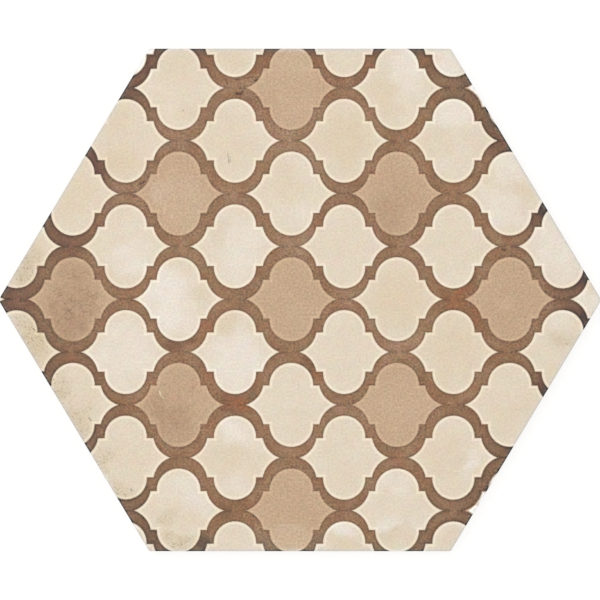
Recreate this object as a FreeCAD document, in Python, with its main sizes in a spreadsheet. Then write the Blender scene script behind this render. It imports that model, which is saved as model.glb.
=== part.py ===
import FreeCAD, Part
import math
import os

import Sketcher

# Hexagonal porcelain floor tile: one pressed and fired piece that lies face up.
# Millimetres. The origin is the middle of the back, on the surface that the tile lies on.
# +Z is up through the printed face, and +X runs from corner to corner.

NODE = "hexagon_tile"
PARTS_FOLDER = "parts"

# Two places closer than this are the same place.
SAME_PLACE = 1e-6

# Driving sizes, each with what it measures.
SIZES = [
    ("across_corners", 240, "width over the two end corners"),
    ("across_flats", 200, "depth over the two long sides"),
    ("thickness", 9, "back to face"),
    ("corner_radius", 1.2, "rounding of the six upright corners"),
    ("face_arris", 0.6, "rounding of the rim of the face"),
    ("back_bevel_inset", 0.6, "how far the side leans in at the back"),
    ("back_bevel_height", 2.0, "how high up the side that lean reaches"),
    ("border_width", 12, "flat band round the back, from the side"),
    ("recess_size", 22, "mouth of one square recess in the back"),
    ("rib_width", 3, "rib between two recesses, at the back"),
    ("recess_depth", 0.9, "depth of the recesses"),
    ("recess_draft", 30, "lean of the recess walls in degrees"),
]

# The ribs repeat at this pitch, with a recess in the middle of the tile, so that as many ribs
# stand on one side of the middle as on the other.
PITCH = "(Sizes.recess_size + Sizes.rib_width)"
RIBS_EACH_END = f"floor((Sizes.across_corners / 2 - Sizes.border_width) / {PITCH})"
RIBS_EACH_FLAT = f"floor((Sizes.across_flats / 2 - Sizes.border_width) / {PITCH})"


def make_sheet(doc):
    """Put the driving sizes in a spreadsheet, one row for each."""
    sheet = doc.addObject("Spreadsheet::Sheet", "Sizes")
    for row, (alias, value, meaning) in enumerate(SIZES, start=1):
        sheet.set(f"A{row}", str(value))
        sheet.setAlias(f"A{row}", alias)
        sheet.set(f"B{row}", meaning)
    doc.recompute()
    return sheet


def origin_feature(body, role):
    """Return the body's own origin plane or axis that has this role."""
    for feature in body.Origin.OriginFeatures:
        if feature.Role == role:
            return feature
    raise RuntimeError(f"The body has no {role}")


def new_sketch(body, name, plane="XY_Plane"):
    """Start a sketch on one of the body's own origin planes, at first that of the tile's back."""
    sketch = body.newObject("Sketcher::SketchObject", name)
    sketch.AttachmentSupport = [(origin_feature(body, plane), "")]
    sketch.MapMode = "FlatFace"
    return sketch


def constrain(sketch, kind, *places):
    """Add a geometric constraint to the sketch."""
    sketch.addConstraint(Sketcher.Constraint(kind, *places))


def dimension(sketch, name, expression, kind, *places):
    """Add a named dimension to the sketch and tie it to the sheet."""
    index = sketch.addConstraint(Sketcher.Constraint(kind, *places))
    sketch.renameConstraint(index, name)
    sketch.setExpression(f"Constraints.{name}", expression)


def draw_ring(sketch, corners):
    """Draw a closed outline of straight sides and return the sides in order."""
    sides = []
    for start, end in zip(corners, corners[1:] + corners[:1]):
        sides.append(sketch.addGeometry(Part.LineSegment(start, end), False))
    for side, following in zip(sides, sides[1:] + sides[:1]):
        constrain(sketch, "Coincident", side, 2, following, 1)
    return sides


def hexagon_corners(half_width, half_depth):
    """Corners of a hexagon with two level sides, anticlockwise from the right end."""
    half_side = half_width / 2
    return [
        FreeCAD.Vector(half_width, 0, 0),
        FreeCAD.Vector(half_side, half_depth, 0),
        FreeCAD.Vector(-half_side, half_depth, 0),
        FreeCAD.Vector(-half_width, 0, 0),
        FreeCAD.Vector(-half_side, -half_depth, 0),
        FreeCAD.Vector(half_side, -half_depth, 0),
    ]


def draw_outline(sketch, sheet):
    """Draw the tile's hexagon, whose long sides are half its width, and return its sides."""
    half_width = sheet.across_corners / 2
    half_depth = sheet.across_flats / 2
    sides = draw_ring(sketch, hexagon_corners(half_width, half_depth))
    right_end, far_side, left_end, near_side = sides[0], sides[1], sides[3], sides[4]
    constrain(sketch, "Symmetric", right_end, 1, left_end, 1, -1, 1)
    constrain(sketch, "PointOnObject", right_end, 1, -1)
    constrain(sketch, "Symmetric", far_side, 1, far_side, 2, -2)
    constrain(sketch, "Symmetric", near_side, 1, near_side, 2, -2)
    constrain(sketch, "Symmetric", far_side, 1, near_side, 1, -1, 1)
    dimension(sketch, "across_corners", "Sizes.across_corners",
              "DistanceX", left_end, 1, right_end, 1, 2 * half_width)
    dimension(sketch, "across_flats", "Sizes.across_flats",
              "DistanceY", near_side, 1, far_side, 1, 2 * half_depth)
    dimension(sketch, "long_side", "Sizes.across_corners / 2",
              "DistanceX", far_side, 2, far_side, 1, half_width)
    return sides


def add_slab(body, sheet):
    """Press the plain slab, from back to face."""
    sketch = new_sketch(body, "Outline")
    draw_outline(sketch, sheet)
    slab = body.newObject("PartDesign::Pad", "Slab")
    slab.Profile = sketch
    slab.setExpression("Length", "Sizes.thickness")
    return slab


def add_field(die, sheet):
    """Raise the die's field: the tile's outline less an even border, with leaning sides."""
    sketch = new_sketch(die, "FieldEdge")
    outer_sides = draw_outline(sketch, sheet)
    half_width = sheet.across_corners / 2 - sheet.border_width
    half_depth = sheet.across_flats / 2 - sheet.border_width
    inner_sides = draw_ring(sketch, hexagon_corners(half_width, half_depth))
    for count, (inner, outer) in enumerate(zip(inner_sides, outer_sides)):
        sketch.toggleConstruction(outer)
        constrain(sketch, "Parallel", inner, outer)
        dimension(sketch, f"border_{count}", "Sizes.border_width",
                  "Distance", inner, 1, outer, sheet.border_width)
    field = die.newObject("PartDesign::Pad", "Field")
    field.Profile = sketch
    field.setExpression("Length", "Sizes.recess_depth")
    field.setExpression("TaperAngle", "-Sizes.recess_draft")
    return field


def draw_rib_section(sketch, sheet):
    """Draw one rib's section round the sketch's own upright axis: narrow at the back, wide at the root."""
    half_crest = sheet.rib_width / 2
    lean = sheet.recess_depth * math.tan(math.radians(sheet.recess_draft))
    corners = [
        FreeCAD.Vector(half_crest, 0, 0),
        FreeCAD.Vector(half_crest + lean, sheet.recess_depth, 0),
        FreeCAD.Vector(-half_crest - lean, sheet.recess_depth, 0),
        FreeCAD.Vector(-half_crest, 0, 0),
    ]
    sides = draw_ring(sketch, corners)
    root, crest = sides[1], sides[3]
    constrain(sketch, "PointOnObject", crest, 1, -1)
    constrain(sketch, "Symmetric", crest, 1, crest, 2, -2)
    constrain(sketch, "Symmetric", root, 1, root, 2, -2)
    dimension(sketch, "crest", "Sizes.rib_width",
              "DistanceX", crest, 1, crest, 2, sheet.rib_width)
    dimension(sketch, "rise", "Sizes.recess_depth",
              "DistanceY", crest, 2, root, 1, sheet.recess_depth)
    dimension(sketch, "lean", "Sizes.recess_depth * tan(Sizes.recess_draft)",
              "DistanceX", crest, 2, root, 1, lean)


def add_grooves(die, sheet, name, section_plane, pattern_axis, ribs_each_side, span):
    """Cut one family of parallel grooves, which press the ribs, right across the die's field."""
    sketch = new_sketch(die, f"{name}Section", section_plane)
    draw_rib_section(sketch, sheet)
    sketch.setExpression("AttachmentOffset.Base.x", f"-({ribs_each_side} - 0.5) * {PITCH}")
    groove = die.newObject("PartDesign::Pocket", f"{name}Groove")
    groove.Profile = sketch
    groove.SideType = "Symmetric"
    groove.setExpression("Length", span)
    grooves = die.newObject("PartDesign::LinearPattern", f"{name}Grooves")
    grooves.Originals = [groove]
    grooves.Direction = (origin_feature(die, pattern_axis), [""])
    grooves.Mode = "Spacing"
    grooves.setExpression("Offset", PITCH)
    grooves.setExpression("Occurrences", f"2 * {ribs_each_side}")
    die.Tip = grooves
    return grooves


def press_relief(body, die):
    """Press the die into the back, which leaves square recesses with ribs between them."""
    relief = body.newObject("PartDesign::Boolean", "BackRelief")
    relief.Type = "Cut"
    relief.setObjects([die])
    return relief


def edge_names(shape, wanted):
    """Return the names of the shape's edges that the test picks."""
    return [f"Edge{count}" for count, edge in enumerate(shape.Edges, start=1) if wanted(edge)]


def round_corners(body, sheet):
    """Round the six upright corners of the side."""
    before = body.Tip

    def is_upright_corner(edge):
        return edge.BoundBox.ZLength > sheet.thickness - SAME_PLACE

    corners = body.newObject("PartDesign::Fillet", "CornerRound")
    corners.Base = (before, edge_names(before.Shape, is_upright_corner))
    corners.setExpression("Radius", "Sizes.corner_radius")
    return corners


def round_face_arris(body, sheet):
    """Round the rim of the printed face."""
    before = body.Tip

    def is_face_rim(edge):
        return edge.BoundBox.ZMin > sheet.thickness - SAME_PLACE

    arris = body.newObject("PartDesign::Fillet", "FaceArris")
    arris.Base = (before, edge_names(before.Shape, is_face_rim))
    arris.setExpression("Radius", "Sizes.face_arris")
    return arris


def bevel_back(body):
    """Lean the foot of the side in towards the back, as the die leaves it."""
    before = body.Tip
    back_faces = [face for face in before.Shape.Faces if face.BoundBox.ZMax < SAME_PLACE]
    back = max(back_faces, key=lambda face: face.Area)
    rim = back.OuterWire.Edges

    def is_back_rim(edge):
        return any(edge.isSame(rim_edge) for rim_edge in rim)

    bevel = body.newObject("PartDesign::Chamfer", "BackBevel")
    bevel.Base = (before, edge_names(before.Shape, is_back_rim))
    bevel.ChamferType = "Two distances"
    bevel.FlipDirection = True
    bevel.setExpression("Size", "Sizes.back_bevel_inset")
    bevel.setExpression("Size2", "Sizes.back_bevel_height")
    return bevel


def check_volume(doc, feature, change, before):
    """Rebuild, stop unless the feature changed the volume the right way, and return the new one."""
    doc.recompute()
    after = feature.Shape.Volume
    if change * (after - before) <= 0:
        raise RuntimeError(f"{feature.Label} left the volume at {after:.1f} after {before:.1f}")
    return after


def check_objects(doc):
    """Stop if any object of the document failed to build."""
    for thing in doc.Objects:
        if "Invalid" in thing.State or "Error" in thing.State:
            raise RuntimeError(f"{thing.Label} did not build")


def check_shape(body):
    """Stop unless the tile is one valid solid."""
    shape = body.Shape
    if shape.isNull() or not shape.isValid() or len(shape.Solids) != 1:
        raise RuntimeError(f"{body.Label} is not one valid solid")


def main():
    doc = FreeCAD.newDocument("HexagonTile")
    sheet = make_sheet(doc)

    die = doc.addObject("PartDesign::Body", "BackDie")
    die.AllowCompound = True
    volume = check_volume(doc, add_field(die, sheet), 1, 0)
    across = add_grooves(die, sheet, "Across", "YZ_Plane", "Y_Axis", RIBS_EACH_FLAT, "Sizes.across_corners")
    volume = check_volume(doc, across, -1, volume)
    along = add_grooves(die, sheet, "Along", "XZ_Plane", "X_Axis", RIBS_EACH_END, "Sizes.across_flats")
    volume = check_volume(doc, along, -1, volume)

    body = doc.addObject("PartDesign::Body", "Tile")
    body.Label = NODE
    volume = check_volume(doc, add_slab(body, sheet), 1, 0)
    volume = check_volume(doc, round_corners(body, sheet), -1, volume)
    volume = check_volume(doc, round_face_arris(body, sheet), -1, volume)
    volume = check_volume(doc, bevel_back(body), -1, volume)
    volume = check_volume(doc, press_relief(body, die), -1, volume)
    check_objects(doc)
    check_shape(body)

    os.makedirs(PARTS_FOLDER, exist_ok=True)
    body.Shape.exportStep(os.path.join(PARTS_FOLDER, f"{body.Label}.step"))
    print(f"{body.Label}: {volume:.1f} cubic millimetres, {body.Shape.BoundBox}")


main()
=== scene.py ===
import math
from collections import namedtuple
from itertools import combinations

import bpy
import bmesh
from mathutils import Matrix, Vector
from mathutils.geometry import delaunay_2d_cdt


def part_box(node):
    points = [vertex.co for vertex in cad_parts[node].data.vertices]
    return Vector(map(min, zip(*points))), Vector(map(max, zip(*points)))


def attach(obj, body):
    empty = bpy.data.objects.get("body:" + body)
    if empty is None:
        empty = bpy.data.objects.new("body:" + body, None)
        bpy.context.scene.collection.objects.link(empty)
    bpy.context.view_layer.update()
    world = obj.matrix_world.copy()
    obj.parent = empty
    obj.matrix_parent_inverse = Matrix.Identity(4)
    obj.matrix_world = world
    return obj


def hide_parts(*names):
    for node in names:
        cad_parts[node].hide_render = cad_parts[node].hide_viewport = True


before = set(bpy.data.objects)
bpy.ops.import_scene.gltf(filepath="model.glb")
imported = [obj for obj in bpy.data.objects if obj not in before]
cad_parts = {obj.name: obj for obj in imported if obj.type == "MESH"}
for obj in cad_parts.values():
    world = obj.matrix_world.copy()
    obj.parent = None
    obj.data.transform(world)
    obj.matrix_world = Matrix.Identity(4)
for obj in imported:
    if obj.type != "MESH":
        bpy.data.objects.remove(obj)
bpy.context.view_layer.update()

# One printed porcelain floor tile, face up on a pale floor.
# Lengths are metres in the mesh, the lamps and the camera, and millimetres in the print.

NODE = "hexagon_tile"
MM = 0.001

tile_low, tile_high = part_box(NODE)

# The tile's body, at the sizes of its solid
THICKNESS = tile_high.z - tile_low.z
HALF_FLATS = tile_high.y
HALF_CORNERS = 0.120
CORNER_RADIUS = 0.0012
FACE_ARRIS = 0.0006
BEVEL_INSET = 0.0006
BEVEL_HEIGHT = 0.0020
CORNER_STEPS = 8

# The back's press pattern
BORDER_WIDTH = 0.012
RIB_WIDTH = 0.003
RECESS_SIZE = 0.022
RECESS_DEPTH = 0.0009
RECESS_DRAFT = math.radians(30)
RIB_LINES_ACROSS = 8
RIB_LINES_UP = 6

# Small roundings that only the visual mesh has
RIM_LAND = 0.0010
BACK_EDGE_RADIUS = 0.00025
BEVEL_TOP_RADIUS = 0.0010
CREST_RADIUS = 0.0002
FLOOR_RADIUS = 0.0003
CREST_LAND = 0.0003
FLOOR_LAND = 0.0003
ARC_STEPS = 5
TINY = 1e-7

# Where each part of the skin lies in the texture square
FACE_MAP_SCALE = 3.74
FACE_MAP_MIDDLE = Vector((0.456, 0.382))
BACK_MAP_SCALE = 1.50
BACK_MAP_MIDDLE = Vector((0.812, 0.842))
SIDE_MAP_SCALE = 3.00
SIDE_MAP_CORNER = Vector((0.010, 0.775))
SIDE_MAP_STEP = 0.036

FACE, BODY, BACK = range(3)

# The print's layout: two kinds of cell in alternating rows, in mm from the tile's middle
AXIS_X = 17.59
ROW_Y = 0.29
REPEAT_X = 86.87
REPEAT_Y = 42.01
EVEN_COLUMN_X = 21.03
Cell = namedtuple("Cell", "lobe_y lobe_radius shoulder notch_x notch_y notch_radius")
ODD_CELL = Cell(8.31, 8.37, 7.79, 20.93, 9.45, 9.99)
EVEN_CELL = Cell(8.00, 8.68, 7.70, 21.08, 9.66, 10.13)
FAR = 50.0

# Steps that give each cell a number of its own, and how far apart two numbers' noises are taken
EVEN_ROW_STEP = 7.3
ODD_COLUMN_STEP = 3.1
ODD_ROW_STEP = 5.7
ODD_START = 40.0
NOISE_STEP = 23.0

# The print's colours, as they show on a screen
CREAMS = [(222, 203, 174), (227, 212, 190), (236, 226, 213)]
TANS = [(184, 151, 120), (196, 165, 134), (207, 181, 152)]
SMUDGE = (146, 108, 82)
VEIN = (134, 103, 78)
OLIVE = (203, 185, 150)
SPECK = (132, 108, 78)
BANDS = [(125, 89, 61), (147, 110, 80), (165, 131, 104)]
RUST = (151, 97, 61)
PLUM = (101, 62, 52)
MOSS = (130, 113, 90)
# The grey brown of the painted shade on the bands at the tile's edge
EDGE_SHADE_BROWN = (142, 128, 116)
SLATE = (101, 74, 56)
INK = (66, 56, 52)
FLECK = (60, 36, 22)
SCRATCH = (228, 208, 178)
# The grey of the painted shade on the cells at the tile's edge
EDGE_SHADE_GREY = (218, 218, 218)
CHALK = (252, 249, 244)

# The colours of the fired clay
BODY_DARK = (196, 178, 152)
BODY_PALE = (222, 207, 184)
BACK_DARK = (188, 168, 142)
BACK_PALE = (212, 196, 172)
BACK_WASH = (226, 219, 206)

# The noises, each with the size of its spots in mm
Noise = namedtuple("Noise", "size detail roughness")
GRAIN = Noise(0.9, 3.0, 0.75)
BLOTCH = Noise(4.5, 2.0, 0.5)
CLOUD = Noise(16.0, 1.0, 0.5)
STREAK = Noise(3.0, 3.0, 0.7)
CREASE = Noise(11.0, 4.0, 0.65)
SPECKLE = Noise(0.75, 2.0, 0.7)
PATCH = Noise(6.0, 3.0, 0.6)
HUE = Noise(4.5, 2.0, 0.5)
TINT = Noise(4.2, 2.0, 0.55)
DRIFT = Noise(9.0, 2.0, 0.5)
NICK = Noise(1.5, 2.0, 0.5)
SIDE_GRIT = Noise(0.7, 4.0, 0.5)
SIDE_CLOUD = Noise(12.0, 2.0, 0.5)
BACK_GRIT = Noise(0.8, 4.0, 0.5)
BACK_CLOUD = Noise(18.0, 2.0, 0.5)
NOISE_SWING = 4.0

# Heights at which the noises that don't follow the cells are taken, so that no two are alike
STREAK_LAYER = 90.0
SPECKLE_LAYER = 50.0
HUE_LAYER = 70.0

# How far noise moves the stains and the short lines, in mm
DRIFT_REACH = 7.0
NICK_REACH = 0.8

# A spot is full up to the first share of its half size, and gone at the second
SPOT_FULL = 0.3
SPOT_GONE = 1.2

# The cells: the tone between their colours, and the share of each stain
CELL_TONE = 0.53
STAIN_DEPTH = 0.5
CLOUD_DEPTH = 0.08
BLOTCH_DEPTH = 0.09
STREAK_STRETCH = 0.5
SMUDGE_SHARE = 0.9
SMUDGE_STREAKS = 0.5
CREASE_WIDTH = 0.05
VEIN_SHARE = 0.6
OLIVE_SHARE = 0.5
OLIVE_BLOTCHES = 0.4
SPECKLE_RANGE = (0.15, 0.95)
# Painted shade: the cells turn greyer towards the tile's edge, where the arris is shaded
EDGE_SHADE_GREY_REACH = (2.4, 0.2)
EDGE_SHADE_GREY_SHARE = 0.36
CHALK_RANGE = (-0.2, -0.8)

# The bands: the tone between their colours, and the share of each stain
BAND_TONE = 0.5
PATCH_DEPTH = 0.34
RUST_SHARE = 0.7
RUST_PATCHES = 0.5
HUE_RANGE = (0.2, 1.4)
HUE_SHARE = 0.45
SLATE_REACH = (22.0, 0.0)
SLATE_SHARE = 0.5
PLUM_SHARE = 0.65
MOST_INK = 0.8
# Painted shade: the bands turn grey brown towards the tile's edge, where the arris is shaded
EDGE_SHADE_BROWN_REACH = (2.0, 0.2)
EDGE_SHADE_BROWN_SHARE = 0.4

# The outlines: the bands swell towards the slanted sides, less on the right, over a range in mm
SWELL_REACH = (14.0, 2.0)
SWELL_LEFT = 0.12
SWELL_RIGHT = 0.06
HALF_BLUR = 0.10

# The heart of a band, away from every outline, is a little paler
HEART_REACH = (1.4, 3.4)
HEART_SHARE = 0.06

# The thin lines along an outline: how far outside the cell, how wide, and how much paler or darker
Line = namedtuple("Line", "out width depth")
LIGHT_LINE = Line(-0.66, 0.40, 0.22)
DARK_LINE = Line(0.46, 0.36, 0.29)
SOFT_LINE = Line(0.85, 0.60, 0.13)
DARK_LINE_REACH = (16.0, 1.0)
DARK_LINE_GAIN = 0.14
SOFT_LINE_REACH = (30.0, 16.0)
TAN_LINE_LOSS = 0.25

# The grain, the painted shade along the tile's edge and the drift of the hue, all stronger in the bands
CELL_GRAIN = 0.15
TAN_GRAIN = 0.17
BAND_GRAIN = 0.40
# Painted shade: the print darkens over its outer 1.4 mm and 0.9 mm at the tile's edge, standing in for
# the shaded arris
ARRIS_SHADE_REACH = (1.4, 0.2)
CELL_ARRIS_SHADE = 0.05
BAND_ARRIS_SHADE = 0.28
RIM_SHADE_REACH = (0.9, 0.1)
BAND_RIM_SHADE = 0.4
CELL_TINT = 0.15
BAND_TINT = 0.22

# The surfaces: roughness, its swing, and the depth of the relief in mm
GLOSS = 0.3
FACE_ROUGHNESS = 0.46
SIDE_ROUGHNESS = 0.72
BACK_ROUGHNESS = 0.80
ROUGHNESS_SWING = 0.05
FACE_RELIEF = 0.02
SIDE_RELIEF = 0.05
BACK_RELIEF = 0.06
RELIEF_BLOTCHES = 1.5

# The clay: how far its clouds and its grit change the tone, and the pale wash on the back's ribs
CLAY_CLOUD_DEPTH = 0.3
CLAY_GRIT_DEPTH = 0.2
WASH_HEIGHT = 0.25
WASH_GRIT_DEPTH = 0.25
WASH_SHARE = 0.8

# Stains placed one by one, each with where it is, its middle, its half width and height, and its strength
Spot = namedtuple("Spot", "where x y across up amount")
CLOUDS = [
    Spot("pale, left of the middle", -53, 0, 12, 15, 1.0),
    Spot("pale, foot of that cell", -47, -11, 8, 6, 0.4),
    Spot("pale, upper left of the middle", -23, 21, 12, 13, 0.55),
    Spot("pale, lower left of the middle", -24, -24, 13, 15, 0.85),
    Spot("pale, far left", -70, -21, 15, 17, 0.60),
    Spot("pale, foot of a far left cell", -66, 15, 11, 8, 0.65),
    Spot("pale, top of that cell", -70, 27, 11, 9, 0.15),
    Spot("pale cap, lower left", -26, -52, 8, 6, 0.9),
    Spot("pale foot of that cell", -25, -75, 8, 5, 0.35),
    Spot("pale cap, upper right", 62, 75, 11, 8, 0.65),
    Spot("pale cap, top right", 41, 93, 10, 9, 0.65),
    Spot("pale, right corner above", 104, 18, 12, 14, 0.5),
    Spot("pale, right corner", 116, 0, 6, 6, 0.8),
    Spot("pale cap, right", 84, 53, 10, 8, 0.6),
    Spot("pale foot, right", 79, 36, 11, 10, 0.45),
    Spot("pale, bottom left", -47, -74, 11, 8, 0.5),
    Spot("pale side, bottom left", -40, -82, 7, 7, 0.5),
    Spot("pale fleck, lower right", 69, -65, 4, 7, 0.9),
    Spot("pale foot, bottom", -3, -95, 10, 7, 0.7),
    Spot("pale cap, bottom", 17, -91, 8, 5, 0.9),
    Spot("pale cap, bottom right", 38, -72, 10, 6, 0.45),
    Spot("pale fleck, bottom right", 35, -88, 5, 4, 0.6),
    Spot("pale, top right edge", 60, 95, 10, 7, 0.7),
    Spot("pale, right below the corner", 104, -7, 7, 5, 0.35),
    Spot("pale foot above the middle", 1, 35, 9, 8, 0.3),
    Spot("pale side of an upper left tan cell", -57, 42, 6, 7, 0.4),
    Spot("the rest of that cell", -48, 40, 13, 15, 0.45),
    Spot("pale, right edge above", 96, 36, 11, 20, 0.3),
    Spot("dull, right edge below", 92, -41, 7, 12, -0.3),
    Spot("dull foot, right edge", 101, -31, 6, 5, -0.4),
    Spot("dull, left edge above", -107, 18, 10, 12, -0.45),
    Spot("dull, left edge below", -109, -19, 11, 13, -0.85),
    Spot("dull, left", -84, 48, 24, 30, -0.15),
    Spot("warm cap, lower left of the middle", -30, -9, 6, 6, -0.6),
    Spot("pale cap of the top tan cell", -3, 95, 9, 7, 0.45),
    Spot("the rest of the top tan cell", -2, 84, 13, 14, 0.25),
    Spot("the lower right tan cell", 39, -41, 14, 15, 0.15),
    Spot("cap of the lower left tan cell", -46, -33, 10, 8, -0.3),
    Spot("pale spot in the right tan cell", 84, -2, 4, 5, 0.35),
    Spot("warm, top middle", 18, 64, 15, 16, -0.80),
    Spot("warm, right of the middle", 39, 0, 15, 16, -0.65),
    Spot("warm, lower right of the middle", 61, -21, 15, 16, -0.70),
    Spot("warm cap above the middle", -6, 47, 9, 9, -0.6),
    Spot("warm foot, upper left", -69, 54, 9, 8, -0.65),
    Spot("dull, upper left", -69, 63, 14, 16, -0.25),
    Spot("warm cap, upper left", -72, 73, 7, 7, -0.4),
    Spot("warm cap, top left", -47, 94, 11, 6, -0.5),
    Spot("warm foot, top left", -46, 74, 7, 5, -0.45),
    Spot("warm belt, lower left", -29, -63, 13, 8, -0.55),
    Spot("warm side, lower left edge", -84, -42, 6, 10, -0.3),
    Spot("dull, lower left", -69, -63, 14, 16, -0.25),
    Spot("warm foot, bottom middle", 18, -71, 9, 7, -0.2),
    Spot("warm foot, bottom right", 39, -94, 8, 6, -0.55),
    Spot("warm side, top right", 32, 83, 7, 9, -0.55),
    Spot("warm foot, top right", 37, 76, 7, 5, -0.35),
    Spot("warm, lower right", 58, -61, 10, 13, -0.35),
    Spot("warm, top left edge", -26, 97, 8, 7, -0.7),
    Spot("warm side, right", 90, 42, 4, 7, -0.5),
    Spot("warm, bottom edge", 18, -99, 9, 4, -0.7),
    Spot("dull, bottom right edge", 61, -97, 9, 5, -0.4),
    Spot("warm, right below", 82, -46, 11, 9, -0.3),
    Spot("dull, upper left of the middle", -26, 62, 13, 15, -0.35),
    Spot("dull, above the middle", 18, 21, 14, 15, -0.15),
    Spot("dull side, upper right", 53, 64, 6, 8, -0.4),
    Spot("dull, left above", -91, 42, 10, 13, -0.45),
    Spot("the left tan cell", -90, 0, 15, 17, -0.75),
    Spot("foot of the lower left tan cell", -50, -48, 12, 11, -0.5),
    Spot("the right tan cell", 84, 0, 14, 15, -0.15),
    Spot("an upper right tan cell", 39, 42, 14, 15, -0.2),
]
SMUDGES = [
    Spot("left tan cell", -91, -5, 10, 15, 0.18),
    Spot("foot of the left tan cell", -91, -12, 8, 8, 0.20),
    Spot("cap of the left tan cell", -91, 12, 8, 5, 0.15),
    Spot("lower left tan cell", -51, -50, 9, 11, 0.25),
    Spot("side of the lower left tan cell", -58, -42, 7, 5, 0.22),
    Spot("foot of an upper right tan cell", 36, 34, 9, 9, 0.20),
    Spot("right edge", 104, -15, 7, 6, 0.09),
]
VEINS = [
    Spot("left tan cell", -91, 0, 14, 18, 0.8),
    Spot("lower left tan cell", -50, -44, 14, 16, 0.35),
    Spot("upper right tan cell", 38, 38, 14, 14, 0.35),
]
GRIMES = [
    Spot("left edge above the corner", -110, 14, 9, 12, 1.0),
    Spot("left edge below the corner", -107, -16, 9, 13, 1.0),
    Spot("lower left edge, first", -98, -36, 8, 9, 1.0),
    Spot("lower left edge, second", -89, -50, 7, 9, 0.9),
    Spot("lower left edge, third", -80, -64, 6, 9, 0.8),
    Spot("lower left edge, foot", -71, -77, 8, 5, 0.8),
    Spot("bottom left", -53, -87, 5, 4, 0.7),
    Spot("bottom left foot", -49, -96, 9, 5, 0.9),
    Spot("left of the middle", -40, 2, 8, 5, 0.30),
    Spot("upper left of the middle", -33, 25, 4, 6, 0.20),
    Spot("bottom right", 34, -92, 5, 3, 0.30),
    Spot("right edge", 104, -16, 5, 4, 0.45),
]
BAND_CLOUDS = [
    Spot("pale, top", -3, 66, 40, 18, 0.5),
    Spot("pale, above the middle", 0, 22, 24, 12, 0.4),
    Spot("pale, right of the middle", 40, -8, 16, 22, 0.6),
    Spot("pale, upper left", -70, 38, 10, 8, 0.3),
    Spot("pale, lower middle", 12, -48, 20, 10, 0.3),
    Spot("dark, left of the middle", -50, -17, 9, 4, -0.9),
    Spot("dark, below the middle", 4, -27, 4, 5, -0.9),
    Spot("dark, right", 66, 9, 5, 7, -0.8),
    Spot("dull, right", 61, -1, 10, 6, -0.65),
    Spot("dull, right below", 70, -8, 5, 7, -0.4),
    Spot("pale, top crossing", -24, 85, 9, 6, 0.35),
    Spot("pale, top right crossing", 60, 84, 8, 6, 0.25),
    Spot("pale, upper left crossing", -48, 63, 8, 6, 0.4),
    Spot("pale, left of the middle crossing", -26, 42, 8, 6, 0.4),
    Spot("pale, middle crossing", 18, 0, 8, 6, 0.5),
    Spot("pale, lower crossing", -4, -63, 8, 6, 0.2),
    Spot("pale, bottom right crossing", 61, -83, 8, 6, 0.5),
    Spot("dark, right above", 83, 21, 8, 6, -0.3),
    Spot("dark, lower left crossing", -69, -42, 8, 6, -0.3),
    Spot("dark, lower left, second", -48, -63, 8, 6, -0.3),
    Spot("dark, bottom left crossing", -26, -83, 8, 7, -0.7),
    Spot("dark, lower left of the middle", -26, -40, 11, 7, -0.9),
    Spot("dark, lower left", -80, -22, 10, 8, -0.3),
    Spot("dark, left edge above", -92, 40, 14, 34, -0.75),
    Spot("dark, left edge below", -92, -40, 14, 30, -0.55),
    Spot("pale, lower left edge", -83, -57, 5, 5, 0.6),
    Spot("pale, right edge", 100, 0, 13, 62, 0.3),
    Spot("dull, top", 0, 95, 76, 10, -0.6),
    Spot("pale, bottom", 6, -97, 44, 8, 0.3),
]
RUSTS = [
    Spot("lower left", -25, -41, 12, 4, 0.9),
    Spot("left", -38, -12, 4, 6, 0.7),
    Spot("left below", -37, -30, 5, 7, 0.5),
    Spot("lower left side", -36, -48, 5, 6, 0.5),
    Spot("right", 62, 1, 8, 5, 0.8),
    Spot("right end", 70, -7, 5, 7, 1.0),
    Spot("right below", 53, -36, 6, 6, 0.4),
    Spot("below the middle", 5, -30, 4, 5, 0.8),
    Spot("bottom left", -28, -95, 8, 5, 0.4),
    Spot("lower left corner", -95, -25, 9, 6, 0.3),
    Spot("by the lower left side", -69, -42, 8, 6, 0.25),
    Spot("above the middle", -14, 17, 6, 6, 0.3),
    Spot("top edge", -5, 96, 46, 8, 0.25),
    Spot("left edge above", -90, 30, 12, 16, 0.2),
    Spot("left corner", -112, 0, 12, 8, 0.15),
]
MOSSES = [
    Spot("bottom edge", 0, -99, 74, 6, 0.6),
    Spot("upper right edge", 78, 72, 6, 12, 0.3),
    Spot("right, by the slivers", 62, 80, 4, 5, 0.4),
]
PLUMS = [
    Spot("left corner", -112, 0, 14, 9, 0.6),
    Spot("left above", -94, 23, 13, 6, 0.6),
    Spot("top left corner", -62, 94, 8, 10, 1.0),
    Spot("upper left edge", -69, 84, 6, 8, 0.7),
    Spot("left edge above", -82, 54, 6, 10, 1.0),
    Spot("top", -40, 98, 6, 6, 0.3),
    Spot("lower left edge", -84, -54, 5, 8, 0.15),
    Spot("right corner above", 112, 7, 8, 7, 0.8),
    Spot("right corner below", 112, -6, 8, 6, 0.7),
    Spot("right of the right tan cell", 104, 0, 8, 6, 0.45),
    Spot("right edge above", 96, 33, 4, 7, 0.8),
    Spot("right edge below", 96, -36, 4, 7, 0.8),
    Spot("upper right edge", 78, 63, 5, 6, 0.4),
]
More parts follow.
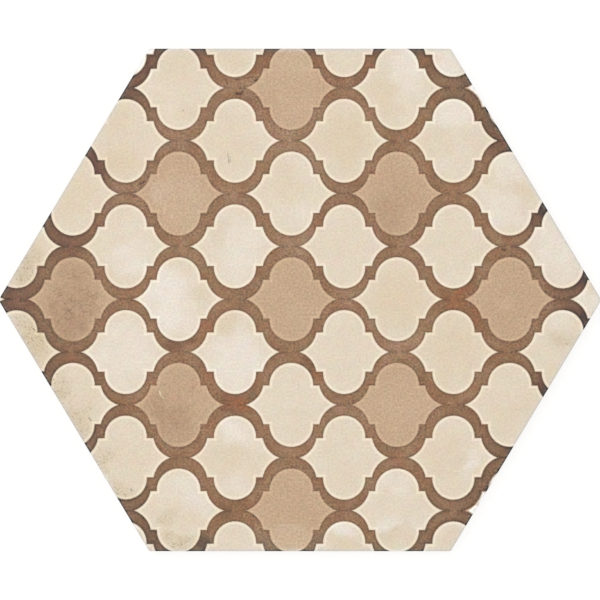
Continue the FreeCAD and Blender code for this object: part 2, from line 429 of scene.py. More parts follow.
INKS = [
    Spot("right corner, upper tip", 114, 9, 4, 5, 0.8),
    Spot("right corner, lower tip", 114, -8, 4, 5, 0.9),
    Spot("right corner, upper arm", 107, 6, 5, 4, 0.3),
    Spot("right corner, lower arm", 108, -6, 5, 4, 0.4),
    Spot("right edge above", 97, 36, 3, 4, 0.9),
    Spot("right edge below", 98, -37, 3, 4, 0.9),
    Spot("upper right edge", 85, 60, 4, 3, 0.7),
    Spot("top right edge", 67, 88, 3, 4, 0.3),
    Spot("upper right step", 75, 77, 3, 3, 0.4),
    Spot("lower right edge", 84, -60, 3, 4, 0.6),
    Spot("lower right step", 75, -76, 3, 3, 0.5),
    Spot("left edge above", -84, 61, 3, 3, 0.5),
    Spot("upper left edge", -71, 82, 4, 3, 0.45),
    Spot("bottom left", -60, -95, 4, 6, 0.15),
    Spot("bottom left, second", -38, -97, 4, 5, 0.6),
    Spot("left corner, upper tip", -117, 3.4, 3, 1.8, 0.5),
    Spot("left corner, lower tip", -118, -2.2, 2.5, 2, 0.5),
    Spot("below the upper right slivers", 76, 70.5, 3, 3, 0.35),
    Spot("line along the top edge", 0, 100.4, 140, 4, 0.52),
]
SLIVERS = [
    Spot("top left edge", -62, 92, 3.5, 5, 1.6),
    Spot("top left corner", -59.5, 97, 2.5, 4, 1.3),
    Spot("left corner", -118.5, 0, 4, 2.5, 1.6),
    Spot("upper right edge", 68.5, 83.5, 3.2, 3.0, 1.6),
    Spot("upper right edge, lower", 72.5, 79, 3.2, 3.4, 1.6),
    Spot("upper right edge, last", 77, 71, 2.5, 4, 1.6),
    Spot("lower right edge, first", 77.5, -70.5, 2.5, 4, 1.6),
    Spot("lower right edge", 72.5, -78.5, 3.2, 3.4, 1.6),
    Spot("lower right edge, lower", 68.5, -83.5, 3.2, 3.0, 1.6),
    Spot("bottom left edge", -65.5, -89, 2.0, 3.5, 0.5),
]

# Short lines listed one by one, each with its two ends, its half width and its strength
Stroke = namedtuple("Stroke", "where x y to_x to_y width amount")
FLECKS = [
    Stroke("top, left of the cluster", -25.2, 82.4, -23.8, 81.7, 0.9, 0.9),
    Stroke("top, right of the cluster", -23.6, 81.7, -22.6, 83.0, 0.8, 0.9),
    Stroke("top, above the cluster", -23.6, 84.0, -23.5, 84.2, 0.5, 0.7),
    Stroke("top, under the rim", -25.2, 87.9, -24.3, 87.6, 0.7, 0.8),
    Stroke("top, left mark", -29.4, 87.4, -28.8, 85.8, 0.6, 0.8),
    Stroke("top, long red line", -22.4, 88.1, -18.5, 88.6, 0.5, 0.5),
    Stroke("top, by the step", -17.8, 87.3, -17.3, 87.6, 0.9, 0.9),
    Stroke("upper left, above the tip", -63.6, 46.2, -61.8, 46.9, 0.6, 0.9),
    Stroke("upper left, below the tip", -66.4, 41.0, -65.8, 42.0, 0.45, 0.8),
    Stroke("upper left cell, long line", -28.5, 58.0, -28.3, 54.6, 0.35, 0.5),
    Stroke("upper left cell, short line", -27.7, 57.0, -27.8, 55.0, 0.3, 0.4),
    Stroke("dot in a top left cell", -46.5, 75.3, -46.3, 75.3, 0.5, 0.5),
    Stroke("dot in the upper left tan cell", -48.0, 39.3, -47.9, 39.2, 0.4, 0.4),
    Stroke("top right dot", 66.3, 87.2, 66.6, 86.6, 0.5, 0.5),
    Stroke("top right line", 64.6, 81.3, 66.0, 81.9, 0.35, 0.45),
    Stroke("above the right tan cell, dot", 80.4, 19.9, 81.5, 19.7, 0.7, 0.8),
    Stroke("right of the middle, dot", 53.0, -3.5, 53.3, -3.9, 0.5, 0.5),
    Stroke("lower left tan cell, mark", -42.6, -34.3, -42.7, -35.6, 0.45, 0.4),
    Stroke("lower left tan cell, dot", -53.9, -33.4, -53.6, -33.8, 0.4, 0.4),
    Stroke("left tan cell, lower end of its crack", -94.4, -6.2, -90.2, -3.0, 0.35, 0.34),
    Stroke("left tan cell, middle of its crack", -90.2, -3.0, -86.0, 0.4, 0.4, 0.30),
    Stroke("left tan cell, upper end of its crack", -86.0, 0.4, -80.0, 2.6, 0.3, 0.25),
    Stroke("left tan cell, mark", -94.0, -3.6, -91.6, -4.8, 0.7, 0.28),
    Stroke("left tan cell, second mark", -92.6, 0.4, -90.4, -0.8, 0.5, 0.25),
    Stroke("foot of a lower left cell", -67.2, -75.4, -66.8, -76.0, 0.4, 0.4),
    Stroke("foot of a lower left cell, second", -69.8, -77.2, -69.4, -77.5, 0.35, 0.35),
    Stroke("side of the next lower left cell", -83.8, -46.8, -83.0, -48.0, 0.5, 0.5),
    Stroke("side of a lower left cell", -107.5, -34.4, -106.2, -35.6, 0.5, 0.5),
]
SCRATCHES = [
    Stroke("lower left tan cell, first", -56.0, -36.3, -55.2, -37.8, 0.5, 0.9),
    Stroke("lower left tan cell, second", -54.9, -38.3, -54.3, -39.0, 0.45, 0.7),
    Stroke("lower left tan cell, third", -59.3, -41.4, -58.6, -43.2, 0.35, 0.4),
    Stroke("upper left tan cell", -54.2, 34.0, -53.4, 37.4, 0.4, 0.5),
    Stroke("upper left tan cell, lower", -51.2, 32.6, -50.6, 35.0, 0.35, 0.4),
]


def screen(colour, alpha=1.0):
    """A screen colour in 0 to 255 as Blender's linear one."""
    values = [part / 255 for part in colour]
    linear = [part / 12.92 if part <= 0.04045 else ((part + 0.055) / 1.055) ** 2.4 for part in values]
    return (*linear, alpha)


# The outline

def sharp_corners():
    """The tile's six corners before rounding, anticlockwise from the right-hand one."""
    half = HALF_CORNERS / 2
    return [
        Vector((HALF_CORNERS, 0)),
        Vector((half, HALF_FLATS)),
        Vector((-half, HALF_FLATS)),
        Vector((-HALF_CORNERS, 0)),
        Vector((-half, -HALF_FLATS)),
        Vector((half, -HALF_FLATS)),
    ]


def outer_sides(inset=0.0):
    """Each side of the tile, moved in, as its outward normal and its distance from the middle."""
    corners = sharp_corners()
    sides = []
    for start, end in zip(corners, corners[1:] + corners[:1]):
        run = (end - start).normalized()
        normal = Vector((run.y, -run.x))
        sides.append((normal, normal.dot(start) - inset))
    return sides


def meeting(first, second, inset):
    """The point where two sides cross once both are moved in, or None if they are parallel."""
    (a, reach_a), (b, reach_b) = first, second
    spread = a.x * b.y - a.y * b.x
    if abs(spread) < TINY:
        return None
    reach_a -= inset
    reach_b -= inset
    return Vector((reach_a * b.y - reach_b * a.y, reach_b * a.x - reach_a * b.x)) / spread


def ring_at(inset):
    """The points of the tile's rounded outline moved in by the inset, corner by corner."""
    sides = outer_sides()
    shares = [step / CORNER_STEPS for step in range(CORNER_STEPS + 1)]
    arm = CORNER_RADIUS - inset
    points = []
    for before, after in zip(sides[-1:] + sides[:-1], sides):
        centre = meeting(before, after, CORNER_RADIUS)
        points += [centre + before[0].slerp(after[0], share) * arm for share in shares]
    return points


def rounded(path, radii):
    """The path with an arc of its own radius at each inner point."""
    smooth = [path[0]]
    for before, corner, after, radius in zip(path, path[1:], path[2:], radii):
        back = (before - corner).normalized()
        ahead = (after - corner).normalized()
        half_angle = back.angle(ahead) / 2
        centre = corner + (back + ahead).normalized() * radius / math.sin(half_angle)
        tangent = radius / math.tan(half_angle)
        start = (corner + back * tangent - centre).normalized()
        end = (corner + ahead * tangent - centre).normalized()
        for step in range(ARC_STEPS + 1):
            smooth.append(centre + start.slerp(end, step / ARC_STEPS) * radius)
    smooth.append(path[-1])
    return smooth


def rim_path():
    """The rim's section from the back to the face, as pairs of inset and height."""
    corners = [
        Vector((RIM_LAND, 0)),
        Vector((BEVEL_INSET, 0)),
        Vector((0, BEVEL_HEIGHT)),
        Vector((0, THICKNESS)),
        Vector((RIM_LAND, THICKNESS)),
    ]
    return rounded(corners, [BACK_EDGE_RADIUS, BEVEL_TOP_RADIUS, FACE_ARRIS])


def recess_path():
    """A recess's section from the rib's crest to its floor, as pairs of inset and height."""
    wall_run = RECESS_DEPTH * math.tan(RECESS_DRAFT)
    corners = [
        Vector((-CREST_LAND, 0)),
        Vector((0, 0)),
        Vector((wall_run, RECESS_DEPTH)),
        Vector((wall_run + FLOOR_LAND, RECESS_DEPTH)),
    ]
    return rounded(corners, [CREST_RADIUS, FLOOR_RADIUS])


# The mesh

class Skin:
    """The tile's mesh, with each face's material and its place in the texture square."""

    def __init__(self):
        self.mesh = bmesh.new()
        self.map = self.mesh.loops.layers.uv.new("OFBake")

    def point(self, place, height):
        return self.mesh.verts.new((place.x, place.y, height))

    def face(self, points, spots, material):
        made = self.mesh.faces.new(points)
        made.material_index = material
        made.smooth = True
        for loop, spot in zip(made.loops, spots):
            loop[self.map].uv = spot
        return made


def on_face_map(place):
    """A place on the printed face in the texture square."""
    return FACE_MAP_MIDDLE + place * FACE_MAP_SCALE


def on_back_map(place):
    """A place on the back in the texture square, as seen from below."""
    return BACK_MAP_MIDDLE + Vector((-place.x, place.y)) * BACK_MAP_SCALE


def on_side_map(side, along, up):
    """A place on one side's strip in the texture square."""
    return SIDE_MAP_CORNER + Vector((along * SIDE_MAP_SCALE, side * SIDE_MAP_STEP + up * SIDE_MAP_SCALE))


def around(lower, upper, number, after):
    """The four corners between two neighbouring points of a ring and of the ring above it."""
    return [lower[number], lower[after], upper[after], upper[number]]


def add_rim(skin):
    """The rim, ring by ring. Returns its lowest and its highest ring of mesh points."""
    path = rim_path()
    lengths = [0.0]
    for start, end in zip(path, path[1:]):
        lengths.append(lengths[-1] + (end - start).length)
    rings = [[skin.point(place, height) for place in ring_at(inset)] for inset, height in path]
    count = len(rings[0])
    stations = ring_at(0)
    for low in range(len(path) - 1):
        on_back = path[low + 1].x >= BEVEL_INSET and path[low + 1].y < BEVEL_HEIGHT / 2
        on_face = path[low].y >= THICKNESS - FACE_ARRIS - TINY
        unrolled = [ring_at(RIM_LAND - lengths[-1] + lengths[level]) for level in (low, low + 1)]
        flat = [ring_at(path[level].x) for level in (low, low + 1)]
        along = 0.0
        for number in range(count):
            after = (number + 1) % count
            side, place_in_side = divmod(number, CORNER_STEPS + 1)
            along = 0.0 if place_in_side == 0 else along
            further = along + (stations[after] - stations[number]).length
            points = around(rings[low], rings[low + 1], number, after)
            if on_face:
                places = around(*unrolled, number, after)
                skin.face(points, [on_face_map(place) for place in places], FACE)
            elif on_back:
                places = around(*flat, number, after)
                skin.face(points, [on_back_map(place) for place in places], BACK)
            else:
                spots = [
                    on_side_map(side, along, lengths[low]),
                    on_side_map(side, further, lengths[low]),
                    on_side_map(side, further, lengths[low + 1]),
                    on_side_map(side, along, lengths[low + 1]),
                ]
                skin.face(points, spots, BODY)
            along = further
    return rings[0], rings[-1]


def add_face(skin, ring):
    """The flat printed face, inside the rim's highest ring."""
    skin.face(ring, [on_face_map(point.co.xy) for point in ring], FACE)


def bounding(sides, inset):
    """Those of the sides that bound the space inside them all, in order round it."""
    found = set()
    for first, second in combinations(range(len(sides)), 2):
        point = meeting(sides[first], sides[second], inset)
        if point and all(normal.dot(point) <= reach - inset + TINY for normal, reach in sides):
            found |= {first, second}
    return sorted((sides[number] for number in found), key=lambda side: math.atan2(side[0].y, side[0].x))


def strips(lines):
    """The spaces between ribs along one direction, as pairs of ends. The outer ones are open."""
    pitch = RECESS_SIZE + RIB_WIDTH
    ribs = [(number - (lines - 1) / 2) * pitch for number in range(lines)]
    lows = [-HALF_CORNERS] + [rib + RIB_WIDTH / 2 for rib in ribs]
    highs = [rib - RIB_WIDTH / 2 for rib in ribs] + [HALF_CORNERS]
    return list(zip(lows, highs))


def recesses():
    """Each recess in the back as the straight sides round it."""
    deepest = recess_path()[-1].x
    for left, right in strips(RIB_LINES_ACROSS):
        for bottom, top in strips(RIB_LINES_UP):
            ribs = [
                (Vector((1, 0)), right),
                (Vector((-1, 0)), -left),
                (Vector((0, 1)), top),
                (Vector((0, -1)), -bottom),
            ]
            sides = bounding(ribs + outer_sides(BORDER_WIDTH), deepest)
            if len(sides) > 2:
                yield sides


def ring_inside(sides, inset):
    """The corners of a recess once its sides are moved in."""
    return [meeting(before, after, inset) for before, after in zip(sides[-1:] + sides[:-1], sides)]


def add_recess(skin, sides):
    """One recess with its leaning walls. Returns its opening's mesh points, anticlockwise from above."""
    path = recess_path()
    rings = []
    for inset, height in path:
        rings.append([skin.point(place, height) for place in ring_inside(sides, inset)])
    count = len(sides)
    for outer, inner in zip(rings, rings[1:]):
        for number in range(count):
            after = (number + 1) % count
            points = [outer[after], outer[number], inner[number], inner[after]]
            skin.face(points, [on_back_map(point.co.xy) for point in points], BACK)
    ceiling = list(reversed(rings[-1]))
    skin.face(ceiling, [on_back_map(point.co.xy) for point in ceiling], BACK)
    return rings[0]


def inside(place, ring):
    """Whether a place lies inside an anticlockwise ring of mesh points."""
    edges = zip(ring, ring[1:] + ring[:1])
    return all((end.co.xy - start.co.xy).cross(place - start.co.xy) > 0 for start, end in edges)


def add_back(skin, ring):
    """The back inside the rim's lowest ring: the crests of the border and the ribs, and the recesses."""
    openings = [add_recess(skin, sides) for sides in recesses()]
    points = []
    edges = []
    for loop in [ring] + openings:
        first = len(points)
        points += loop
        edges += [(first + number, first + (number + 1) % len(loop)) for number in range(len(loop))]
    flat = [point.co.xy for point in points]
    places, _, triangles, sources, _, _ = delaunay_2d_cdt(flat, edges, [], 1, TINY)
    for triangle in triangles:
        middle = sum((places[number] for number in triangle), Vector((0, 0))) / 3
        if not any(inside(middle, opening) for opening in openings):
            corners = [points[sources[number][0]] for number in reversed(triangle)]
            skin.face(corners, [on_back_map(corner.co.xy) for corner in corners], BACK)


def make_tile(materials):
    """The whole tile as one closed mesh."""
    skin = Skin()
    back_ring, face_ring = add_rim(skin)
    add_face(skin, face_ring)
    add_back(skin, back_ring)
    mesh = bpy.data.meshes.new("tile")
    skin.mesh.to_mesh(mesh)
    skin.mesh.free()
    for material in materials:
        mesh.materials.append(material)
    tile = bpy.data.objects.new("tile", mesh)
    bpy.context.scene.collection.objects.link(tile)
    return tile


# Shader nodes written as sums

class Term:
    """A number or colour that shader nodes work out."""

    def __init__(self, tree, socket):
        self.tree = tree
        self.socket = socket

    def math(self, operation, *others):
        node = self.tree.nodes.new("ShaderNodeMath")
        node.operation = operation
        for value, socket in zip((self, *others), node.inputs):
            feed(self.tree, value, socket)
        return Term(self.tree, node.outputs[0])

    def __add__(self, other):
        return self.math("ADD", other)

    def __sub__(self, other):
        return self.math("SUBTRACT", other)

    def __rsub__(self, other):
        return self.math("MULTIPLY_ADD", -1.0, other)

    def __mul__(self, other):
        return self.math("MULTIPLY", other)

    def __truediv__(self, other):
        return self.math("DIVIDE", other)

    def __abs__(self):
        return self.math("ABSOLUTE")

    def least(self, other):
        return self.math("MINIMUM", other)

    def most(self, other):
        return self.math("MAXIMUM", other)

    def above(self, other):
        return self.math("GREATER_THAN", other)

    def nearest(self, spacing):
        """The nearest whole number of spacings."""
        return (self / spacing).math("ROUND")

    def eased(self, start, end, top=1.0):
        """A soft step from 0 at the start to the top at the end, whichever of the two is the larger."""
        node = self.tree.nodes.new("ShaderNodeMapRange")
        node.interpolation_type = "SMOOTHSTEP"
        node.clamp = False
        feed(self.tree, self, node.inputs["Value"])
        node.inputs["From Min"].default_value = min(start, end)
        node.inputs["From Max"].default_value = max(start, end)
        node.inputs["To Min"].default_value = 0.0 if start < end else top
        node.inputs["To Max"].default_value = top if start < end else 0.0
        return Term(self.tree, node.outputs["Result"])

    def bell(self, middle, width):
        """1 at the middle, falling off to both sides."""
        away = (self - middle) / width
        return (away * away * -1.0).math("EXPONENT")


def feed(tree, value, socket):
    """Joins a term to a socket, or sets a plain value on it."""
    if isinstance(value, Term):
        tree.links.new(value.socket, socket)
    else:
        socket.default_value = value


def length(across, up):
    """The straight distance that two terms make."""
    return (across * across + up * up).math("SQRT")


def clamped(share):
    """The share kept between 0 and 1."""
    return share.most(0.0).least(1.0)


NUMBER_ANSWERS = ("DISTANCE", "DOT_PRODUCT", "LENGTH")


class Paint:
    """One material's shader nodes, with the surface's place in millimetres."""

    def __init__(self, name):
        self.material = bpy.data.materials.new(name)
        self.material.use_nodes = True
        self.tree = self.material.node_tree
        self.shader = self.tree.nodes["Principled BSDF"]
        coordinates = self.tree.nodes.new("ShaderNodeTexCoord")
        self.place = self.scaled(Term(self.tree, coordinates.outputs["Object"]), 1 / MM)
        parts = self.tree.nodes.new("ShaderNodeSeparateXYZ")
        feed(self.tree, self.place, parts.inputs[0])
        self.x, self.y, self.z = (Term(self.tree, output) for output in parts.outputs)

    def vector(self, x, y, z=0.0):
        node = self.tree.nodes.new("ShaderNodeCombineXYZ")
        for value, socket in zip((x, y, z), node.inputs):
            feed(self.tree, value, socket)
        return Term(self.tree, node.outputs[0])

    def vectors(self, operation, *values):
        """What a vector node makes of places or colours: a number for some operations, else a vector."""
        node = self.tree.nodes.new("ShaderNodeVectorMath")
        node.operation = operation
        for value, socket in zip(values, node.inputs):
            feed(self.tree, value, socket)
        answer = "Value" if operation in NUMBER_ANSWERS else "Vector"
        return Term(self.tree, node.outputs[answer])

    def scaled(self, vector, factor):
        """A place or a colour times a number."""
        node = self.tree.nodes.new("ShaderNodeVectorMath")
        node.operation = "SCALE"
        feed(self.tree, vector, node.inputs[0])
        feed(self.tree, factor, node.inputs["Scale"])
        return Term(self.tree, node.outputs[0])

    def noise_node(self, kind, place):
        node = self.tree.nodes.new("ShaderNodeTexNoise")
        feed(self.tree, place, node.inputs["Vector"])
        node.inputs["Scale"].default_value = 1 / kind.size
        node.inputs["Detail"].default_value = kind.detail
        node.inputs["Roughness"].default_value = kind.roughness
        return node

    def noise(self, kind, place):
        """Cloudy noise that swings either side of 0 by about 1."""
        node = self.noise_node(kind, place)
        return (Term(self.tree, node.outputs[0]) - 0.5) * NOISE_SWING

    def noise_colour(self, kind, place):
        """Cloudy noise in three numbers, each about 0.5."""
        return Term(self.tree, self.noise_node(kind, place).outputs["Color"])

    def shifted(self, place, kind, noise_place, reach):
        """The place moved about by noise, so that what is drawn there has an uneven edge."""
        noise = self.noise_colour(kind, noise_place)
        start = self.vectors("SUBTRACT", place, (reach, reach, 0.0))
        return self.vectors("MULTIPLY_ADD", noise, (2 * reach, 2 * reach, 0.0), start)

    def spots(self, place, spots):
        """The sum of listed spots, each full in its middle and fading softly to its edge."""
        total = 0.0
        for spot in spots:
            shrink = (1 / spot.across, 1 / spot.up, 0.0)
            offset = (-spot.x / spot.across, -spot.y / spot.up, 0.0)
            away = self.vectors("LENGTH", self.vectors("MULTIPLY_ADD", place, shrink, offset))
            total = away.eased(SPOT_GONE, SPOT_FULL, spot.amount) + total
        return total

    def strokes(self, place, strokes):
        """The strongest of some listed short lines, each fading to its sides."""
        total = 0.0
        for stroke in strokes:
            run = Vector((stroke.to_x - stroke.x, stroke.to_y - stroke.y, 0.0))
            offset = self.vectors("MULTIPLY_ADD", place, (1.0, 1.0, 0.0), (-stroke.x, -stroke.y, 0.0))
            share = self.vectors("DOT_PRODUCT", offset, run / run.length_squared)
            nearest = self.scaled(run, clamped(share))
            away = self.vectors("DISTANCE", offset, nearest)
            total = (away.eased(stroke.width, 0.0) * stroke.amount).most(total)
        return total

    def mix(self, first, second, share):
        """The first colour turning into the second as the share goes from 0 to 1."""
        node = self.tree.nodes.new("ShaderNodeMix")
        node.data_type = "RGBA"
        feed(self.tree, share, node.inputs["Factor"])
        feed(self.tree, first, node.inputs["A"])
        feed(self.tree, second, node.inputs["B"])
        return Term(self.tree, node.outputs["Result"])

    def ramp(self, share, colours):
        """Evenly spaced colours blended one into the next as the share goes from 0 to 1."""
        node = self.tree.nodes.new("ShaderNodeValToRGB")
        feed(self.tree, share, node.inputs["Fac"])
        stops = node.color_ramp.elements
        while len(stops) < len(colours):
            stops.new(0.5)
        for number, colour in enumerate(colours):
            stops[number].position = number / (len(colours) - 1)
            stops[number].color = screen(colour)
        return Term(self.tree, node.outputs["Color"])

    def wander(self, colour, place, reach):
        """The colour with its red, green and blue each drifting either way by a share of the reach."""
        drift = self.vectors("SUBTRACT", self.noise_colour(TINT, place), (0.5, 0.5, 0.5))
        return self.vectors("MULTIPLY_ADD", self.scaled(drift, reach), colour, colour)

    def finish(self, colour, roughness, height, depth):
        """Joins the colour, the roughness and a fine relief of the given depth in mm to the shader."""
        feed(self.tree, colour, self.shader.inputs["Base Color"])
        feed(self.tree, roughness, self.shader.inputs["Roughness"])
        self.shader.inputs["Specular IOR Level"].default_value = GLOSS
        bump = self.tree.nodes.new("ShaderNodeBump")
        bump.inputs["Distance"].default_value = depth * MM
        feed(self.tree, height, bump.inputs["Height"])
        self.tree.links.new(bump.outputs[0], self.shader.inputs["Normal"])
        return self.material


# The printed face

def cell_distance(x, y, cell):
    """How far a point is outside one cell's outline; x and y are from the cell's middle."""
    across = abs(x)
    up = abs(y)
    lobes = length(across, (up - cell.lobe_y).most(0.0)) - cell.lobe_radius
    notch = cell.notch_radius - length(across - cell.notch_x, up - cell.notch_y)
    waist = (up - cell.shoulder).most(notch) + across.above(cell.notch_x) * FAR
    return lobes.least(waist)


def print_layout(paint):
    """The distance outside the nearest cell, whether that cell is tan, and a number of its own."""
    x = paint.x - AXIS_X
    y = paint.y - ROW_Y
    half = REPEAT_X / 2
    odd_column = x.nearest(half)
    odd_row = (y - REPEAT_Y / 2).nearest(REPEAT_Y)
    odd = cell_distance(x - odd_column * half, y - REPEAT_Y / 2 - odd_row * REPEAT_Y, ODD_CELL)
    repeat = x.nearest(REPEAT_X)
    row = y.nearest(REPEAT_Y)
    within = x - repeat * REPEAT_X
    even = cell_distance(abs(within) - EVEN_COLUMN_X, y - row * REPEAT_Y, EVEN_CELL)
    right = within.above(0.0)
    in_even = odd.above(even)
    checker = (right + row).math("FLOORED_MODULO", 2.0)
    tan = (1.0 - checker) * in_even
    even_number = repeat * 2.0 + right + row * EVEN_ROW_STEP
    odd_number = odd_column * ODD_COLUMN_STEP + odd_row * ODD_ROW_STEP + ODD_START
    number = odd_number + (even_number - odd_number) * in_even
    return odd.least(even), tan, number


def edge_distances(paint):
    """How far a point is inside the nearest slanted side, and inside the nearest side of all, in mm."""
    slanted, reach = outer_sides()[0]
    across = abs(paint.x)
    up = abs(paint.y)
    slant = reach / MM - across * slanted.x - up * slanted.y
    return slant, slant.least(HALF_FLATS / MM - up)


def cell_colour(paint, outside, tan, edge, own, drift, blotch):
    """Cream or tan, with the clouds, smudges, veins and grime of old cement, and painted shade greying
    them towards the tile's edge.
    """
    cloud = paint.noise(CLOUD, own)
    stain = paint.spots(drift, CLOUDS) * STAIN_DEPTH
    tone = stain + cloud * CLOUD_DEPTH + blotch * BLOTCH_DEPTH + CELL_TONE
    colour = paint.mix(paint.ramp(tone, CREAMS), paint.ramp(tone, TANS), tan)
    streaks = paint.noise(STREAK, paint.vector(paint.x, paint.y * STREAK_STRETCH, STREAK_LAYER))
    smudge = paint.spots(drift, SMUDGES) * (streaks * SMUDGE_STREAKS + SMUDGE_SHARE)
    colour = paint.mix(colour, screen(SMUDGE), clamped(smudge))
    crease = paint.noise(CREASE, own).bell(0.0, CREASE_WIDTH)
    colour = paint.mix(colour, screen(VEIN), crease * paint.spots(drift, VEINS) * VEIN_SHARE)
    grime = paint.spots(drift, GRIMES)
    colour = paint.mix(colour, screen(OLIVE), grime * (blotch * OLIVE_BLOTCHES + OLIVE_SHARE))
    specks = paint.noise(SPECKLE, paint.vector(paint.x, paint.y, SPECKLE_LAYER))
    colour = paint.mix(colour, screen(SPECK), grime * specks.eased(*SPECKLE_RANGE))
    # Painted shade: greyer towards the tile's edge
    colour = paint.mix(colour, screen(EDGE_SHADE_GREY), edge.eased(*EDGE_SHADE_GREY_REACH) * EDGE_SHADE_GREY_SHARE)
    chalk = paint.spots(paint.place, SLIVERS).least(1.0) * outside.eased(*CHALK_RANGE)
    return paint.mix(colour, screen(CHALK), chalk)


def band_colour(paint, slant, edge, drift):
    """Brown, with paler and darker patches, some rust and some moss, darker towards the slanted sides,
    and painted shade greying it at the tile's edge.
    """
    patch = paint.noise(PATCH, paint.place)
    hue = paint.noise(HUE, paint.vector(paint.x, paint.y, HUE_LAYER))
    tone = paint.spots(drift, BAND_CLOUDS) * STAIN_DEPTH + patch * PATCH_DEPTH + BAND_TONE
    colour = paint.ramp(tone, BANDS)
    start, full = HUE_RANGE
    rust = paint.spots(drift, RUSTS) * (patch * RUST_PATCHES + RUST_SHARE)
    colour = paint.mix(colour, screen(RUST), hue.eased(start, full) * HUE_SHARE + rust)
    moss = paint.spots(drift, MOSSES)
    colour = paint.mix(colour, screen(MOSS), hue.eased(-start, -full) * HUE_SHARE + moss)
    colour = paint.mix(colour, screen(SLATE), slant.eased(*SLATE_REACH) * SLATE_SHARE)
    colour = paint.mix(colour, screen(PLUM), paint.spots(drift, PLUMS) * PLUM_SHARE)
    colour = paint.mix(colour, screen(INK), paint.spots(paint.place, INKS).least(MOST_INK))
    # Painted shade: grey brown towards the tile's edge
    return paint.mix(colour, screen(EDGE_SHADE_BROWN), edge.eased(*EDGE_SHADE_BROWN_REACH) * EDGE_SHADE_BROWN_SHARE)


def outline_lines(outside, slant, tan):
    """The pale line inside each cell's outline and the dark ones outside it, as more or less light."""
    light = outside.bell(LIGHT_LINE.out, LIGHT_LINE.width) * LIGHT_LINE.depth
    dark_depth = slant.eased(*DARK_LINE_REACH) * DARK_LINE_GAIN + DARK_LINE.depth
    dark = outside.bell(DARK_LINE.out, DARK_LINE.width) * dark_depth
    soft = outside.bell(SOFT_LINE.out, SOFT_LINE.width) * slant.eased(*SOFT_LINE_REACH) * SOFT_LINE.depth
    return (light - dark - soft) * (1.0 - tan * TAN_LINE_LOSS)


def printed_face():
    """The printed face: cream and tan cells between brown bands, all stained and scratched, with painted
    shade darkening and greying the print along the tile's edge.
    """
    paint = Paint("printed_face")
    outside, tan, number = print_layout(paint)
    slant, edge = edge_distances(paint)
    swell = paint.x.above(0.0) * (SWELL_RIGHT - SWELL_LEFT) + SWELL_LEFT
    outside = outside + slant.eased(*SWELL_REACH) * swell
    in_band = outside.eased(-HALF_BLUR, HALF_BLUR)
    own = paint.vector(paint.x, paint.y, number * NOISE_STEP)
    drift = paint.shifted(paint.place, DRIFT, own, DRIFT_REACH)
    nicked = paint.shifted(paint.place, NICK, paint.place, NICK_REACH)
    grain = paint.noise(GRAIN, paint.place)
    blotch = paint.noise(BLOTCH, own)

    cells = cell_colour(paint, outside, tan, edge, own, drift, blotch)
    colour = paint.mix(cells, band_colour(paint, slant, edge, drift), in_band)
    colour = paint.mix(colour, screen(SCRATCH), paint.strokes(nicked, SCRATCHES))
    colour = paint.mix(colour, screen(FLECK), paint.strokes(nicked, FLECKS))

    lines = outline_lines(outside, slant, tan)
    coarse = in_band * BAND_GRAIN + tan * TAN_GRAIN + CELL_GRAIN
    # Painted shade: the print darkens along the tile's edge, most in the bands
    arris_shade = edge.eased(*ARRIS_SHADE_REACH) * (in_band * BAND_ARRIS_SHADE + CELL_ARRIS_SHADE)
    rim_shade = edge.eased(*RIM_SHADE_REACH) * in_band * BAND_RIM_SHADE
    heart = outside.eased(*HEART_REACH) * HEART_SHARE
    level = lines + heart + grain * coarse + 1.0 - (arris_shade + rim_shade)
    colour = paint.wander(paint.scaled(colour, level), own, in_band * BAND_TINT + CELL_TINT)
    roughness = blotch * ROUGHNESS_SWING + FACE_ROUGHNESS
    height = grain + blotch * RELIEF_BLOTCHES
    return paint.finish(colour, roughness, height, FACE_RELIEF)


def clay(paint, dark, pale, grit, cloud):
    """Fired clay between two colours, with clouds and fine grit."""
    tone = cloud * CLAY_CLOUD_DEPTH + grit * CLAY_GRIT_DEPTH + 0.5
    return paint.mix(screen(dark), screen(pale), tone)


def fired_body():
    """The pressed sides: fired clay with fine grit."""
    paint = Paint("fired_body")
    grit = paint.noise(SIDE_GRIT, paint.place)
    cloud = paint.noise(SIDE_CLOUD, paint.place)
    colour = clay(paint, BODY_DARK, BODY_PALE, grit, cloud)
    roughness = grit * ROUGHNESS_SWING + SIDE_ROUGHNESS
    return paint.finish(colour, roughness, grit, SIDE_RELIEF)


def pressed_back():
    """The unprinted back: fired clay with a thin pale wash on the ribs."""
    paint = Paint("pressed_back")
    grit = paint.noise(BACK_GRIT, paint.place)
    cloud = paint.noise(BACK_CLOUD, paint.place)
    colour = clay(paint, BACK_DARK, BACK_PALE, grit, cloud)
    patches = clamped(cloud * CLAY_CLOUD_DEPTH + grit * WASH_GRIT_DEPTH + 0.5)
    wash = paint.z.eased(WASH_HEIGHT, 0.0) * patches
    colour = paint.mix(colour, screen(BACK_WASH), wash * WASH_SHARE)
    roughness = grit * ROUGHNESS_SWING + BACK_ROUGHNESS
    return paint.finish(colour, roughness, grit, BACK_RELIEF)


# Floor, light and camera

FLOOR_HALF = 4.0
FLOOR_PALE = (0.80, 0.80, 0.80, 1.0)
FLOOR_SEEN = (0.30, 0.30, 0.30, 1.0)
FLOOR_GLOW = 0.74
SKY_LEVEL = 0.72
KEY_POWER = 18.6
KEY_SIZE = 1.8
KEY_PLACE = Vector((-0.50, 0.40, 2.40))

LENS = 85.0
SENSOR = 36.0
PHOTO_SIDE = 600
PIXELS_PER_MM = 2.515
TILE_MIDDLE_PIXEL = Vector((299.95, 299.95))


def seen_directly(tree):
    """1 for a ray from the camera, a reflection or a clear material, and 0 for plain light."""
    path = tree.nodes.new("ShaderNodeLightPath")
    seen = Term(tree, path.outputs["Is Camera Ray"])
    seen = seen.most(Term(tree, path.outputs["Is Glossy Ray"]))
    return seen.most(Term(tree, path.outputs["Is Transmission Ray"]))


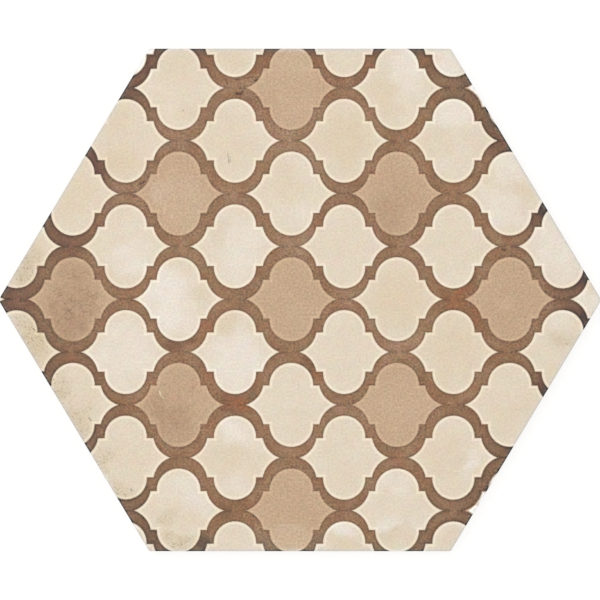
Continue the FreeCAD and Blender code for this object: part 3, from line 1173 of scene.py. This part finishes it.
def make_floor():
    """A pale floor that shows white where nothing shades it."""
    half = FLOOR_HALF
    corners = [(-half, -half, 0), (half, -half, 0), (half, half, 0), (-half, half, 0)]
    mesh = bpy.data.meshes.new("floor")
    mesh.from_pydata(corners, [], [(0, 1, 2, 3)])
    material = bpy.data.materials.new("floor")
    material.use_nodes = True
    tree = material.node_tree
    shader = tree.nodes["Principled BSDF"]
    shader.inputs["Roughness"].default_value = 1.0
    shader.inputs["Specular IOR Level"].default_value = 0.0
    shader.inputs["Emission Color"].default_value = (1.0, 1.0, 1.0, 1.0)
    seen = seen_directly(tree)
    feed(tree, seen * FLOOR_GLOW, shader.inputs["Emission Strength"])
    shade = tree.nodes.new("ShaderNodeMix")
    shade.data_type = "RGBA"
    feed(tree, seen, shade.inputs["Factor"])
    shade.inputs["A"].default_value = FLOOR_PALE
    shade.inputs["B"].default_value = FLOOR_SEEN
    tree.links.new(shade.outputs["Result"], shader.inputs["Base Color"])
    mesh.materials.append(material)
    floor = bpy.data.objects.new("floor", mesh)
    bpy.context.scene.collection.objects.link(floor)


def make_sky():
    """Even light from all round, which the camera sees as white."""
    world = bpy.data.worlds.new("sky")
    world.use_nodes = True
    background = world.node_tree.nodes["Background"]
    background.inputs["Color"].default_value = (1.0, 1.0, 1.0, 1.0)
    strength = seen_directly(world.node_tree) * (1.0 - SKY_LEVEL) + SKY_LEVEL
    feed(world.node_tree, strength, background.inputs["Strength"])
    bpy.context.scene.world = world


def make_key():
    """One large soft lamp, high on the left."""
    lamp = bpy.data.lights.new("key", "AREA")
    lamp.energy = KEY_POWER
    lamp.size = KEY_SIZE
    key = bpy.data.objects.new("key", lamp)
    key.location = KEY_PLACE
    key.rotation_euler = KEY_PLACE.to_track_quat("Z", "Y").to_euler()
    bpy.context.scene.collection.objects.link(key)


def make_camera():
    """A camera straight above the face, which puts the tile's middle at its place in the photograph."""
    field = PHOTO_SIDE / PIXELS_PER_MM * MM
    middle = Vector((PHOTO_SIDE / 2, PHOTO_SIDE / 2))
    off = (middle - TILE_MIDDLE_PIXEL) / PIXELS_PER_MM * MM
    data = bpy.data.cameras.new("camera")
    data.lens = LENS
    data.sensor_width = SENSOR
    camera = bpy.data.objects.new("camera", data)
    camera.location = (off.x, -off.y, THICKNESS + field * LENS / SENSOR)
    bpy.context.scene.collection.objects.link(camera)
    bpy.context.scene.camera = camera


make_camera()
make_key()
make_sky()
make_floor()
tile = make_tile([printed_face(), fired_body(), pressed_back()])
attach(tile, "root")
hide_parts(NODE)
bpy.context.scene.view_settings.view_transform = "Standard"
